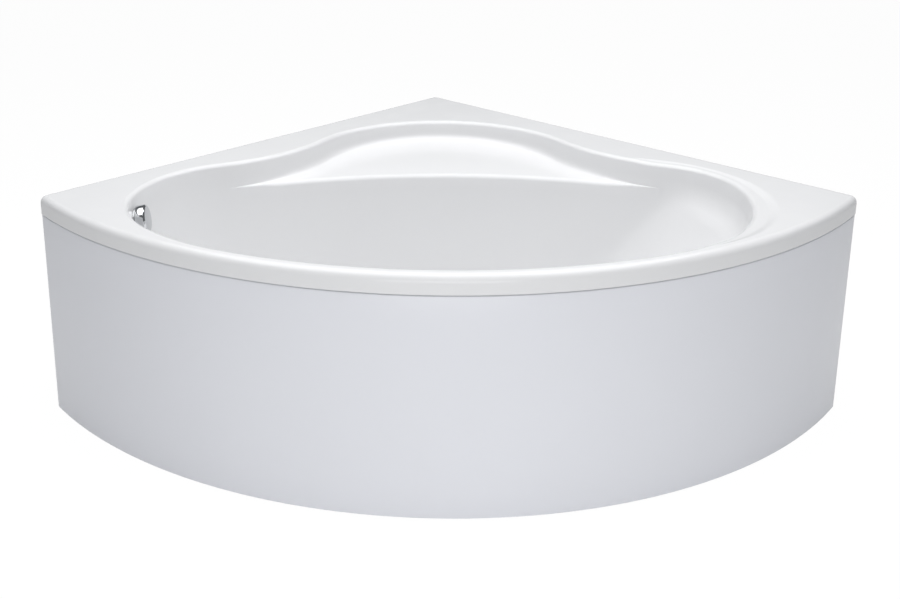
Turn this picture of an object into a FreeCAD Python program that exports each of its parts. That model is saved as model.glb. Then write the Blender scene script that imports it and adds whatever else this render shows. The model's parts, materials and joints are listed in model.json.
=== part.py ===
import FreeCAD, Part
import math
import os
from FreeCAD import Vector

# Corner bathtub: acrylic shell on a welded steel frame with levelling feet, a curved
# removable front panel and a turn-knob overflow that lifts the plug. Millimetres.
# +Z is up, the front bows towards -Y, the room's corner is behind at +Y. The origin is
# on the floor under the middle of the outline.

# ---- rim -----------------------------------------------------------------------------
sideLength = 1500.0          # along each wall
frontRadius = 1320.0         # bowed front edge
cornerRadius = 22.0          # plan radius of the three corners
deckHeight = 605.0
rimDepth = 47.0              # the rim's upright face
sheet = 5.0                  # acrylic with its laminate
rimRoll = 18.0               # rounded outer edge of the rim

# ---- opening and basin ---------------------------------------------------------------
openRoll = 14.0              # rounded edge between deck and basin
openSet = -9.0               # where that rounding starts, outside the drawn outline
brimWidth = 35.0             # rim face to basin outline at the front
edgeRadius = 1690.0          # the seat's front edge, drawn as the basin's back arc
edgeApex = 135.0             # y of that edge in the middle
tipAngle = 68.5              # direction in which seat edge, flare and shoulder all meet
flareRadius = 500.0          # hollow flare from the seat bay into the basin
seatRadius = 405.0           # round back of the seat bay
shoulderRadius = {"left": 317.0, "right": 258.0}
endRadius = {"left": 595.0, "right": 469.0}
draft = 11.0                 # basin walls off vertical
floorHeight = 175.0          # inside floor of the basin
floorFillet = 90.0
backrestLean = 36.0          # sloped right-hand end
footEndSlope = 0.05          # extra inward slope of the left-hand end
endSpread = 0.45             # how fast the leaning end flattens as it moves in
seatDrop = 65.0              # deck down to the seat's front edge
seatFall = 2.1               # the seat falls forward
ledgeDrop = 10.0             # armrest ledge at the right-hand end
ledgeRadius = 355.0
ledgeCentre = (478.0, -279.0)

# ---- base and frame ------------------------------------------------------------------
boardThickness = 18.0
boardInset = 120.0           # board edge inside the basin outline
tubeSize = 25.0
tubeWall = 2.0
tubeCorner = 3.0
frontRailY = -420.0
rearRailY = -60.0
crossRailX = 420.0
frontPostX = 850.0
spineTip = -700.0            # front end of the spine rail
battenInset = 20.0           # timber battens, from the wall plane
battenWidth = 45.0
battenHeight = 20.0
battenEnd = 1400.0           # along the wall from the back corner
blockSize = 40.0             # timber blocks over the front posts
padHeight = 5.0              # rubber pads between posts and timber
capFlange = 2.5              # plastic plugs in the open tube ends
capDepth = 14.0
screwDiameter = 5.0
screwHead = 10.0
screwBite = 12.0             # into the base board
screwHeadHeight = 3.0
screwPlaces = (-330.0, 270.0)

# ---- feet ----------------------------------------------------------------------------
footRise = 127.0             # floor to the underside of the rails
rodDiameter = 12.0
rodTop = 178.0
footDiameter = 50.0
footHeight = 22.0
footRim = 7.0
footNeck = 4.0
spannerFlats = 6.0
nutAcross = 19.0
nutHeight = 10.0
rodPlay = 0.05               # radial running clearance of rod, plug stem and knob
rodHole = 13.5               # holes through the rails
footFrontX = 780.0
footRearX = 740.0
footFrontY = -660.0
footBackY = 560.0

# ---- front panel ---------------------------------------------------------------------
panelSet = 1.5               # panel face behind the rim face
panelSheet = 4.0
panelGap = 2.0               # under the rim
panelTop = deckHeight - rimDepth - panelGap
panelBottom = 3.0
panelReturn = 18.0           # flanges along top and bottom
panelWrap = 14.0             # how far it follows each wall behind the corner
stiffenerWidth = 42.0
stiffenerBottom = 60.0
stiffenerTop = panelTop - 26.0
stiffenerDepth = 26.0        # of the middle one
stiffenerRise = 40.0         # the middle one ends this far above the rails
magnetThickness = 8.0
magnetWidth = 22.0
magnetHeight = 40.0
strikeThickness = 1.0
magnetLevels = (140.0, stiffenerTop - 60.0)
bracketReach = 24.0
bracketSheet = 3.0

# ---- wall brackets -------------------------------------------------------------------
wallSheet = 3.0
wallBracketWidth = 64.0
wallBracketDrop = 76.0
wallBracketUp = 26.0
wallHole = 6.5
wallHoleSpacing = 36.0
wallHoleDrop = 50.0
wallBracketAt = (430.0, 1130.0)

# ---- waste and overflow --------------------------------------------------------------
wasteX = -300.0
wasteHole = 52.0
boardHole = 100.0            # round opening in the base board for the waste
flangeDiameter = 72.0
flangeThickness = 2.0
gasketThickness = 3.0
plugDiameter = 62.0
plugThickness = 7.0
stemDiameter = 8.0
stemLength = 52.0
wasteBore = 44.0
pipeWall = 3.0
wasteBodyBottom = 84.0
inletHeight = 104.0
inletDiameter = 32.0
inletReach = 62.0
trapDiameter = 40.0
trapBottom = 8.0
drumDiameter = 84.0
drumHeight = 56.0
outletHeight = 38.0
outletLength = 120.0
outletCollar = 60.0          # thicker start of the outlet, which the socket stops against
collarWall = 4.0
drumBevel = 8.0
neckSocket = 2.0             # the neck starts inside the drum's top
neckBore = 20.0              # how deep the neck's bore runs into the drum
nutWall = 7.0
nutLength = 16.0
flangeNeck = 18.0
guideDrop = 13.0             # bar across the flange that guides the stem
guideHeight = 6.0
bodyFlange = 5.0
bodyStep = 30.0              # narrow lower part of the body's bore
plugRim = 4.0
plugBevel = 3.0
overflowDrop = 62.0          # deck down to the knob's axis
overflowHeight = deckHeight - overflowDrop
overflowHole = 54.0
knobDiameter = 75.0
knobDepth = 26.0
knobGap = 7.0                # water passes behind the knob
plateGap = 0.45              # flat plate on the hollow wall
knobWall = 3.0
plateDiameter = 66.0
plateThickness = 3.0
inletSlot = 8.0              # two openings in the plate let the water in
spindleDiameter = 12.0
spindleLength = 18.0
overflowBodyLength = 46.0
cableDiameter = 6.0
cablePort = 116.0            # height where it enters the waste body
cableStand = 34.0            # straight out of the cup before it turns down
cableAside = 46.0            # it runs this far in front of the waste body
spigotDrop = 56.0
spigotInset = 4.0            # from the cup's back
cupBase = 4.0
knobBevel = 2.5
knobEndPlay = 0.3            # between knob and plate along the spindle
plateNut = 4.0               # the plate's neck ends this far behind the gasket
cableLowBend = 120.0         # above the port, where it leans towards the waste
cableLean = 60.0
cableBends = (24.0, 150.0, 90.0, 34.0)
hoseBend = 110.0

# ---- worked out from the sizes above -------------------------------------------------
root2 = math.sqrt(2.0)
halfWidth = sideLength / root2
frontDepth = frontRadius + halfWidth - math.sqrt(frontRadius**2 - halfWidth**2)
cornerTip = cornerRadius * (root2 - 1)
backY = (frontDepth + cornerTip) / 2        # the sharp back corner
frontY = backY - frontDepth + frontRadius   # centre of the front arc
rimFoot = deckHeight - rimDepth
boardTop = floorHeight - sheet
boardBottom = boardTop - boardThickness
railTop = footRise + tubeSize
tip = math.radians(tipAngle)
lean = math.radians(draft)
frontInner = frontRadius - brimWidth


def export(name, *solids):
    shape = solids[0] if len(solids) == 1 else Part.makeCompound(list(solids))
    shape.exportStep("parts/" + name + ".step")


def cylinder(radius, height, base, axis=Vector(0, 0, 1)):
    return Part.makeCylinder(radius, height, base, axis)


def ring(outer, inner, height, base, axis=Vector(0, 0, 1)):
    return cylinder(outer, height, base, axis).cut(cylinder(inner, height, base, axis))


def block(width, depth, height, centre):
    corner = Vector(centre.x - width / 2, centre.y - depth / 2, centre.z - height / 2)
    return Part.makeBox(width, depth, height, corner)


def revolved(profile, base, axis=Vector(0, 0, 1)):
    """profile: (radius, height) corners of a closed section, turned about the axis"""
    points = [Vector(r, 0, h) for r, h in profile]
    solid = Part.Face(Part.makePolygon(points + points[:1])).revolve(Vector(), Vector(0, 0, 1), 360)
    solid.Placement = FreeCAD.Placement(base, FreeCAD.Rotation(Vector(0, 0, 1), axis))
    return solid


# ---- outlines ------------------------------------------------------------------------
def rimCorners(inset):
    """side corners and back corner of the rim outline moved inwards"""
    reach = backY - inset * root2
    span = reach - frontY
    x = (span + math.sqrt(2 * (frontRadius - inset)**2 - span**2)) / 2
    return x, reach


def rimPrism(inset, bottom, top):
    x, reach = rimCorners(inset)
    left, right = Vector(-x, reach - x, bottom), Vector(x, reach - x, bottom)
    back = Vector(0, reach, bottom)
    apex = Vector(0, frontY - frontRadius + inset, bottom)
    walls = [Part.LineSegment(right, back).toShape(), Part.LineSegment(back, left).toShape()]
    front = Part.Arc(left, apex, right).toShape()
    solid = Part.Face(Part.Wire(walls + [front])).extrude(Vector(0, 0, top - bottom))
    uprights = [e for e in solid.Edges if e.BoundBox.ZLength > (top - bottom) / 2]
    return solid.makeFillet(cornerRadius - inset, uprights)


def rolled(solid, top, radius):
    return solid.makeFillet(radius, [e for e in solid.Edges if e.BoundBox.ZMin > top - 0.01])


def outwards(centre, through, radius):
    step = through - centre
    return centre + step / step.Length * radius


def arcAbout(centre, radius, start, end, lift):
    middle = outwards(centre, (start + end) / 2, radius)
    return Part.Arc(lift(start), lift(middle), lift(end)).toShape()


def crossing(c1, r1, c2, r2, side):
    """where two circles cross, the crossing nearer the middle from this side"""
    span = (c2 - c1).Length
    along = (r1**2 - r2**2 + span**2) / (2 * span)
    off = math.sqrt(r1**2 - along**2)
    u = (c2 - c1) / span
    one = c1 + u * along + Vector(-u.y, u.x, 0) * off
    other = c1 + u * along - Vector(-u.y, u.x, 0) * off
    return one if (one.x - other.x) * side < 0 else other


tipPoint = Vector(edgeRadius * math.cos(tip), edgeApex - edgeRadius * (1 - math.sin(tip)), 0)
tipOut = Vector(math.cos(tip), math.sin(tip), 0)
flareCentre = tipPoint + tipOut * flareRadius
seatDy = math.sqrt((seatRadius + flareRadius)**2 - flareCentre.x**2)
seatCentre = Vector(0, flareCentre.y - seatDy, 0)
frontCentre = Vector(0, frontY, 0)


def shoulderCentre(side):
    sign = 1 if side == "right" else -1
    centre = tipPoint - tipOut * shoulderRadius[side]
    return Vector(sign * centre.x, centre.y, 0)


def halfOutline(side, inset, shift, lift, bay):
    """tangent arcs of one half: seat edge or bay, shoulder, end, to the front arc"""
    sign = 1 if side == "right" else -1
    rs = shoulderRadius[side]
    re = endRadius[side] + endSpread * shift
    shoulder = shoulderCentre(side) - Vector(sign * shift, 0, 0)
    end = crossing(frontCentre, frontInner - re, shoulder, re - rs, sign)
    low = outwards(frontCentre, end, frontInner - inset)
    middle = outwards(end, shoulder, re - inset)
    if bay:
        flare = Vector(sign * flareCentre.x, flareCentre.y, 0)
        top = outwards(shoulder, flare, rs - inset)
        turn = outwards(seatCentre, flare, seatRadius - inset)
        edges = [arcAbout(flare, flareRadius + inset, turn, top, lift)]
        start = turn
    else:
        dy = shoulder.y - edgeApex
        radius = (rs**2 - shoulder.x**2 - dy**2) / (2 * (dy + rs))
        back = Vector(0, edgeApex - radius, 0)
        top = outwards(back, shoulder, radius - inset)
        edges = [arcAbout(back, radius - inset, Vector(0, edgeApex - inset, 0), top, lift)]
        start = None
    edges.append(arcAbout(shoulder, rs - inset, top, middle, lift))
    edges.append(arcAbout(end, re - inset, middle, low, lift))
    return edges, start, low


def outline(inset, lift, shifts=(0.0, 0.0), bay=False):
    left, leftStart, leftLow = halfOutline("left", inset, shifts[0], lift, bay)
    right, rightStart, rightLow = halfOutline("right", inset, shifts[1], lift, bay)
    edges = left + [arcAbout(frontCentre, frontInner - inset, leftLow, rightLow, lift)] + right[::-1]
    if bay:
        edges.append(arcAbout(seatCentre, seatRadius - inset, leftStart, rightStart, lift))
    return Part.Wire(Part.__sortEdges__(edges))


def level(z):
    return lambda p: Vector(p.x, p.y, z)


def seatPlane(drop):
    slope = math.tan(math.radians(seatFall))
    return lambda p: Vector(p.x, p.y, deckHeight - seatDrop - drop + slope * (p.y - edgeApex))


# ---- tub shell -----------------------------------------------------------------------
wallStart = (openSet + openRoll * math.cos(lean), deckHeight - openRoll + openRoll * math.sin(lean))
filletTop = floorHeight + floorFillet
seatInset = wallStart[0] + (wallStart[1] - deckHeight + seatDrop) * math.tan(lean)

seatOffset = 1 / math.cos(lean) - math.tan(lean)      # per mm of sheet, where the outside drops by it too


def wallInset(z):
    return wallStart[0] + (wallStart[1] - z) * math.tan(lean)


def endShifts(z):
    """how far both ends have moved inwards at this height, beyond the common draft"""
    depth = max(deckHeight - seatDrop - z, 0.0)
    return (footEndSlope * depth, depth * (math.tan(math.radians(backrestLean)) - math.tan(lean)))


def upperCavity(grow):
    """deck down to the seat's level, seat bay included; grow makes the sheet's outside"""
    wires = []
    for degrees in (0.0, 27.0, 54.0, 90.0 - draft):
        a = math.radians(degrees)
        radius = openRoll - grow
        z = deckHeight - openRoll + radius * math.cos(a)
        wires.append(outline(openSet + radius * math.sin(a), level(z), bay=True))
    wires.append(outline(seatInset - grow * seatOffset, seatPlane(grow), bay=True))
    return Part.makeLoft(wires, True, True)


def lowerCavity(grow):
    """basin from the seat's level to the floor, with the sloped backrest"""
    bottom = filletTop - floorFillet * math.sin(lean)
    wires = [outline(seatInset - grow * seatOffset, seatPlane(grow)),
             outline(wallInset(bottom) - grow / math.cos(lean), level(bottom), endShifts(bottom))]
    centre = wallInset(bottom) + floorFillet * math.cos(lean)
    radius = floorFillet + grow
    for degrees in (27.0, 43.0, 59.0, 75.0, 90.0):
        a = math.radians(degrees)
        height = filletTop - radius * math.sin(a)
        shift = endShifts(filletTop - floorFillet * math.sin(a))
        wires.append(outline(centre - radius * math.cos(a), level(height), shift))
    return Part.makeLoft(wires, True, True)


def ledge(grow):
    bottom = deckHeight - ledgeDrop - grow
    return cylinder(ledgeRadius + grow, deckHeight - grow - bottom + 2.0, Vector(*ledgeCentre, bottom))


overflowSide = shoulderCentre("left")
overflowSlope = (seatInset - wallStart[0]) / (wallStart[1] - seatPlane(0.0)(overflowSide).z)
overflowAxis = Vector(1, 0, overflowSlope).normalize()
overflowInset = wallStart[0] + (wallStart[1] - overflowHeight) * overflowSlope
overflowPoint = overflowSide + Vector(overflowInset - shoulderRadius["left"], 0, overflowHeight)
plateStand = (plateDiameter / 2)**2 / (2 * (shoulderRadius["left"] - overflowInset)) + plateGap


def wastePoint(z):
    return Vector(wasteX, overflowSide.y, z)


def tubShell():
    outside = rolled(rimPrism(0.0, rimFoot, deckHeight), deckHeight, rimRoll)
    under = deckHeight - sheet
    inside = rolled(rimPrism(sheet, rimFoot - 1.0, under), under, rimRoll - sheet)
    shell = outside.cut(inside)
    for form in (ledge, upperCavity, lowerCavity):
        shell = shell.fuse(form(sheet))
    for form in (ledge, upperCavity, lowerCavity):
        shell = shell.cut(form(0.0))
    reach = overflowHole / 2
    shell = shell.cut(cylinder(reach, 2 * reach, overflowPoint - overflowAxis * reach, overflowAxis))
    return shell.cut(cylinder(wasteHole / 2, wasteHole, wastePoint(floorHeight - wasteHole / 2)))


# ---- base board, timber and wall brackets --------------------------------------------
def baseBoard():
    wire = outline(boardInset, level(boardBottom), endShifts(filletTop))
    board = Part.Face(wire).extrude(Vector(0, 0, boardThickness))
    board = board.cut(cylinder(boardHole / 2, 40.0, wastePoint(boardBottom - 10.0)))
    return board.cut(list(boardScrews(rodPlay)))


def besideWall(side, along, inset, z):
    """a point given by its distance from the back corner along a wall and from that wall"""
    sign = 1 if side == "right" else -1
    return Vector(sign * (along - inset) / root2, backY - (along + inset) / root2, z)


def wallBar(side, start, end, profile):
    """profile: (distance from the wall, height) corners, run along the wall"""
    corners = [besideWall(side, start, inset, z) for inset, z in profile]
    run = besideWall(side, end, 0, 0) - besideWall(side, start, 0, 0)
    return Part.Face(Part.makePolygon(corners + corners[:1])).extrude(run)


def batten(side):
    start = battenInset if side == "left" else battenInset + battenWidth
    top, far = deckHeight - sheet, battenInset + battenWidth
    bottom = top - battenHeight
    return wallBar(side, start, battenEnd, [(battenInset, bottom), (far, bottom), (far, top), (battenInset, top)])


def cornerBlock(sign):
    top = deckHeight - sheet
    return block(blockSize, blockSize, battenHeight, Vector(sign * frontPostX, frontRailY, top - battenHeight / 2))


def wallBracket(side, along):
    half = wallBracketWidth / 2
    foot, inner = rimFoot - wallSheet, sheet + wallSheet
    profile = [(0, rimFoot - wallBracketDrop), (wallSheet, rimFoot - wallBracketDrop), (wallSheet, foot),
               (inner, foot), (inner, rimFoot + wallBracketUp), (sheet, rimFoot + wallBracketUp),
               (sheet, rimFoot), (0, rimFoot)]
    solid = wallBar(side, along - half, along + half, profile)
    for step in (-wallHoleSpacing / 2, wallHoleSpacing / 2):
        base = besideWall(side, along + step, -5.0, rimFoot - wallHoleDrop)
        inward = besideWall(side, along + step, 5.0, rimFoot - wallHoleDrop) - base
        solid = solid.cut(cylinder(wallHole / 2, 20.0, base, inward))
    return solid


# ---- welded frame --------------------------------------------------------------------
rearPostX = backY - (battenInset + battenWidth / 2) * root2 - rearRailY
backPostY = backY - (battenInset + battenWidth / 2) * root2
postTop = deckHeight - sheet - battenHeight - padHeight
half = tubeSize / 2


def squareTube(start, end, holes=()):
    run = end - start
    n = run / run.Length
    size = [abs(c) * run.Length + (1 - abs(c)) * tubeSize for c in (n.x, n.y, n.z)]
    bore = [abs(c) * run.Length + (1 - abs(c)) * (tubeSize - 2 * tubeWall) for c in (n.x, n.y, n.z)]
    middle = (start + end) / 2
    solid = block(*size, middle)
    edges = [e for e in solid.Edges if abs(e.tangentAt(e.FirstParameter).dot(n)) > 0.99]
    solid = solid.makeFillet(tubeCorner, edges).cut(block(*bore, middle))
    for x, y in holes:
        solid = solid.cut(cylinder(rodHole / 2, tubeSize + 10.0, Vector(x, y, footRise - 5.0)))
    return solid


railLevel = footRise + half
feet = {"front": (0.0, footFrontY), "left_front": (-footFrontX, frontRailY), "right_front": (footFrontX, frontRailY),
        "left_rear": (-footRearX, rearRailY), "right_rear": (footRearX, rearRailY), "back": (0.0, footBackY)}


def rails():
    def at(x, y):
        return Vector(x, y, railLevel)
    reach = {"front": frontPostX + half, "rear": rearPostX + half}
    front = squareTube(at(-reach["front"], frontRailY), at(reach["front"], frontRailY),
                       (feet["left_front"], feet["right_front"]))
    rear = squareTube(at(-reach["rear"], rearRailY), at(reach["rear"], rearRailY),
                      (feet["left_rear"], feet["right_rear"]))
    yield "rail_front", front.cut(list(boardScrews(rodPlay)))
    yield "rail_rear", rear.cut(list(boardScrews(rodPlay)))
    yield "spine_front", squareTube(at(0, spineTip), at(0, frontRailY - half), (feet["front"],))
    yield "spine_middle", squareTube(at(0, frontRailY + half), at(0, rearRailY - half))
    yield "spine_back", squareTube(at(0, rearRailY + half), at(0, backPostY + half), (feet["back"],))
    for side, x in (("left", -crossRailX), ("right", crossRailX)):
        yield "cross_rail_" + side, squareTube(at(x, frontRailY + half), at(x, rearRailY - half))


posts = {"front_left": (-frontPostX, frontRailY), "front_right": (frontPostX, frontRailY),
         "rear_left": (-rearPostX, rearRailY), "rear_right": (rearPostX, rearRailY), "back": (0.0, backPostY)}


def post(x, y):
    return squareTube(Vector(x, y, railTop), Vector(x, y, postTop))


def postPad(x, y):
    return block(tubeSize, tubeSize, padHeight, Vector(x, y, postTop + padHeight / 2))


def endCap(x, y, nx, ny):
    """plastic plug in an open tube end: a flange outside and a plug inside"""
    out = Vector(nx, ny, 0)
    wide = tubeSize - 2 * tubeWall
    flange = block(*[capFlange if c else tubeSize for c in (nx, ny)], tubeSize,
                   Vector(x, y, railLevel) + out * (capFlange / 2))
    plug = block(*[capDepth if c else wide for c in (nx, ny)], wide, Vector(x, y, railLevel) - out * (capDepth / 2))
    return flange.fuse(plug)


def boardScrews(play):
    """heads under the rails, shanks up through them into the board; play makes their holes"""
    shank = boardBottom - footRise + screwBite
    for x in screwPlaces:
        for y in (frontRailY, rearRailY):
            screw = cylinder(screwDiameter / 2 + play, shank, Vector(x, y, footRise))
            if not play:
                screw = screw.fuse(hexagon(screwHead, screwHeadHeight, Vector(x, y, footRise - screwHeadHeight)))
            yield screw


# ---- levelling feet ------------------------------------------------------------------
def levellingFoot(x, y):
    """round pad moulded on a threaded spindle with spanner flats"""
    r, neck = footDiameter / 2, rodDiameter / 2 + footNeck
    pad = revolved([(0, 0), (r, 0), (r, footRim), (neck, 2 * footRim), (neck, footHeight), (0, footHeight)],
                   Vector(x, y, 0))
    rod = cylinder(rodDiameter / 2, rodTop - footHeight, Vector(x, y, footHeight))
    return pad.fuse(rod).fuse(hexagon(nutAcross, spannerFlats, Vector(x, y, footHeight)))


def hexagon(across, height, base, bore=0.0):
    radius = across / math.sqrt(3.0)
    corners = [base + Vector(radius * math.cos(k * math.pi / 3), radius * math.sin(k * math.pi / 3), 0)
               for k in range(6)]
    solid = Part.Face(Part.makePolygon(corners + corners[:1])).extrude(Vector(0, 0, height))
    return solid.cut(cylinder(bore, height + 2.0, base - Vector(0, 0, 1.0))) if bore else solid


def footNuts():
    bore = rodDiameter / 2 + rodPlay
    for x, y in feet.values():
        yield hexagon(nutAcross, nutHeight, Vector(x, y, footRise - nutHeight), bore)


# ---- front panel ---------------------------------------------------------------------
sideX, sideReach = rimCorners(0.0)
panelSplit = sideReach - sideX + panelWrap
panelInner = frontRadius - panelSet - panelSheet
stiffenerBack = frontRailY - half - magnetThickness - strikeThickness
centreBack = frontY - panelInner + stiffenerDepth


def frontOf(solid, y):
    """the part of a solid in front of a plane across the tub"""
    wide, deep = 2 * sideLength, sideLength
    return solid.common(Part.makeBox(wide, deep, 2 * deckHeight, Vector(-sideLength, y - deep, -panelBottom)))


def panelSkin(inset, thickness, bottom, top):
    shape = rimPrism(inset, bottom, top)
    return frontOf(shape.cut(rimPrism(inset + thickness, bottom - 1.0, top + 1.0)), panelSplit)


def frontPanel():
    skin = panelSkin(panelSet, panelSheet, panelBottom, panelTop)
    for bottom in (panelBottom, panelTop - panelSheet):
        flange = panelSkin(panelSet + panelSheet - 1.0, panelReturn - panelSheet + 1.0, bottom, bottom + panelSheet)
        skin = skin.fuse(flange)
    return skin


def stiffener(x, width, back, bottom, top):
    """timber bonded inside the panel: curved to fit it in front, flat behind"""
    deep = 2 * rimDepth + width
    solid = Part.makeBox(width, deep, top - bottom, Vector(x - width / 2, back - deep, bottom))
    return solid.common(cylinder(panelInner, top - bottom, Vector(0, frontY, bottom)))


def magnets():
    """(x, y of the magnet's front face, z) of each catch"""
    for sign in (-1, 1):
        for z in magnetLevels:
            yield sign * frontPostX, frontRailY - half - magnetThickness, z
    yield 0.0, centreBack + strikeThickness, railLevel


def magnet(x, y, z):
    return block(magnetWidth, magnetThickness, magnetHeight, Vector(x, y + magnetThickness / 2, z))


def strikePlate(x, y, z):
    return block(magnetWidth, strikeThickness, magnetHeight, Vector(x, y - strikeThickness / 2, z))


def magnetBracket():
    """bent strap from under the spine rail to the middle magnet"""
    face = centreBack + strikeThickness + magnetThickness
    top = railLevel + magnetHeight / 2
    under, back = footRise - bracketSheet, spineTip + bracketReach
    profile = [(face, top), (face, under), (back, under), (back, footRise),
               (face + bracketSheet, footRise), (face + bracketSheet, top)]
    corners = [Vector(-magnetWidth / 2, y, z) for y, z in profile]
    return Part.Face(Part.makePolygon(corners + corners[:1])).extrude(Vector(magnetWidth, 0, 0))


# ---- waste and trap ------------------------------------------------------------------
def wasteFlange():
    """chrome ring in the outlet with a bar that guides the plug's stem"""
    r, bore = flangeDiameter / 2, wasteBore / 2
    neck = bore + pipeWall
    body = revolved([(bore, -flangeNeck), (neck, -flangeNeck), (neck, 0.0), (r, 0.0),
                     (r - plugBevel, flangeThickness), (bore, flangeThickness)], wastePoint(floorHeight))
    bar = block(2 * bore + pipeWall, 2 * stemDiameter, guideHeight, wastePoint(floorHeight - guideDrop))
    hole = cylinder(stemDiameter / 2 + rodPlay, 2 * guideDrop, wastePoint(floorHeight - 2 * guideDrop))
    return body.fuse(bar).cut(hole)


def wasteGasket():
    return ring(flangeDiameter / 2, wasteBore / 2 + pipeWall, gasketThickness, wastePoint(boardTop - gasketThickness))


def wasteBody():
    """moulded body under the floor with its overflow inlet and cable port"""
    bore, outer = wasteBore / 2, wasteBore / 2 + pipeWall
    top = boardTop - gasketThickness
    r, under = flangeDiameter / 2, top - bodyFlange
    body = revolved([(outer, under), (r, under), (r, top), (outer, top)], wastePoint(0))
    inner, outside = inletDiameter / 2 - pipeWall, inletDiameter / 2
    barrel = cylinder(outer + pipeWall, under - wasteBodyBottom, wastePoint(wasteBodyBottom))
    inlet = cylinder(outside, inletReach, wastePoint(inletHeight), Vector(-1, 0, 0))
    body = body.fuse(barrel).fuse(inlet)
    body = body.cut(cylinder(outer, floorHeight, wastePoint(wasteBodyBottom + bodyStep)))
    body = body.cut(cylinder(trapDiameter / 2 - pipeWall, 2 * bodyStep, wastePoint(wasteBodyBottom - 1.0)))
    return body.cut(cylinder(inner, inletReach + 1.0, wastePoint(inletHeight), Vector(-1, 0, 0)))


def pipe(points, bends, radius):
    """round bar along straight runs joined by tangent elbows; gives its solid and length"""
    solids, start, length = [], points[0], 0.0
    for before, corner, after, bend in zip(points, points[1:], points[2:], bends):
        a, b = (before - corner).normalize(), (after - corner).normalize()
        opening = a.getAngle(b)
        back = bend / math.tan(opening / 2)
        first, last = corner + a * back, corner + b * back
        centre = corner + (a + b).normalize() * (bend / math.sin(opening / 2))
        if (first - start).Length > 0.01:
            solids.append(cylinder(radius, (first - start).Length, start, first - start))
        section = Part.Face(Part.Wire(Part.makeCircle(radius, first, a)))
        axis = (first - centre).cross(last - centre)
        solids.append(section.revolve(centre, axis, 180.0 - math.degrees(opening)))
        length += (first - start).Length + bend * (math.pi - opening)
        start = last
    solids.append(cylinder(radius, (points[-1] - start).Length, start, points[-1] - start))
    return solids[0].multiFuse(solids[1:]).removeSplitter(), length + (points[-1] - start).Length


def trap():
    """low drum trap with a straight outlet towards the back"""
    outer, wall = trapDiameter / 2, pipeWall
    drumTop = trapBottom + drumHeight
    neckFoot = drumTop - neckSocket
    neck = revolved([(outer - wall, neckFoot), (outer, neckFoot), (outer, wasteBodyBottom),
                     (outer - wall, wasteBodyBottom)], wastePoint(0))
    r = drumDiameter / 2
    drum = revolved([(0, trapBottom), (r - drumBevel, trapBottom), (r, trapBottom + drumBevel), (r, drumTop),
                     (0, drumTop)], wastePoint(0))
    start, back = wastePoint(outletHeight), Vector(0, 1, 0)
    drum = drum.fuse(cylinder(outer + collarWall, outletCollar, start, back))
    drum = drum.fuse(cylinder(outer, outletLength, start, back))
    drum = drum.cut(cylinder(outer - wall, outletLength, start, back))
    drum = drum.cut(cylinder(outer - wall, drumHeight, wastePoint(drumTop - neckBore)))
    return drum.fuse(neck)


def trapNut():
    r = trapDiameter / 2
    return ring(r + nutWall, r, nutLength, wastePoint(wasteBodyBottom - nutLength))


def wastePlug():
    r = plugDiameter / 2
    seat = floorHeight + flangeThickness
    top = seat + plugThickness
    cap = revolved([(0, seat), (r, seat), (r, seat + plugRim), (r - plugBevel, top), (0, top)], wastePoint(0))
    stem = cylinder(stemDiameter / 2, stemLength, wastePoint(seat - stemLength))
    return cap.fuse(stem)


# ---- overflow ------------------------------------------------------------------------
def overflowAt(distance):
    """a point on the overflow's axis; negative is behind the basin's wall"""
    return overflowPoint + overflowAxis * distance


def overflowPlate():
    """flange on the wall with a threaded neck through it and the knob's spindle"""
    neck, bore = overflowHole / 2 - 2.0, overflowHole / 2 - 5.0
    back = sheet + gasketThickness + plateNut
    axis, front = overflowAxis, plateStand + plateThickness
    plate = cylinder(plateDiameter / 2, plateThickness, overflowAt(plateStand), axis)
    plate = plate.fuse(ring(neck, bore, back + front, overflowAt(-back), axis))
    slot = block(2 * bore + 2.0, inletSlot, 3 * plateThickness, Vector())
    for side in (-1, 1):
        turn = FreeCAD.Rotation(Vector(0, 0, 1), axis)
        offset = turn.multVec(Vector(0, side * (spindleDiameter / 2 + inletSlot), 0))
        opening = slot.common(cylinder(bore - 1.0, 60.0, Vector(0, -side * (spindleDiameter / 2 + inletSlot), -30.0)))
        opening.Placement = FreeCAD.Placement(overflowAt(plateStand) + offset, turn)
        plate = plate.cut(opening)
    plate = plate.fuse(cylinder(spindleDiameter / 2, spindleLength, overflowAt(front), axis))
    return plate


def overflowKnob():
    """round cap with a bevelled face, hollow behind, on the spindle"""
    r, back = knobDiameter / 2, knobGap
    front = back + knobDepth
    hub, bore = spindleDiameter / 2 + 3.0, spindleDiameter / 2 + rodPlay
    foot = plateStand + plateThickness + knobEndPlay
    end = foot + spindleLength
    profile = [(r - knobWall, back), (r, back), (r, front - knobBevel), (r - knobBevel, front), (0, front), (0, end),
               (bore, end), (bore, foot), (hub, foot), (hub, front - knobWall), (r - knobWall, front - knobWall)]
    return revolved(profile, overflowPoint, overflowAxis)


def overflowGasket():
    return ring(plateDiameter / 2, overflowHole / 2 - 1.0, gasketThickness,
                overflowAt(-sheet - gasketThickness), overflowAxis)


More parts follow.
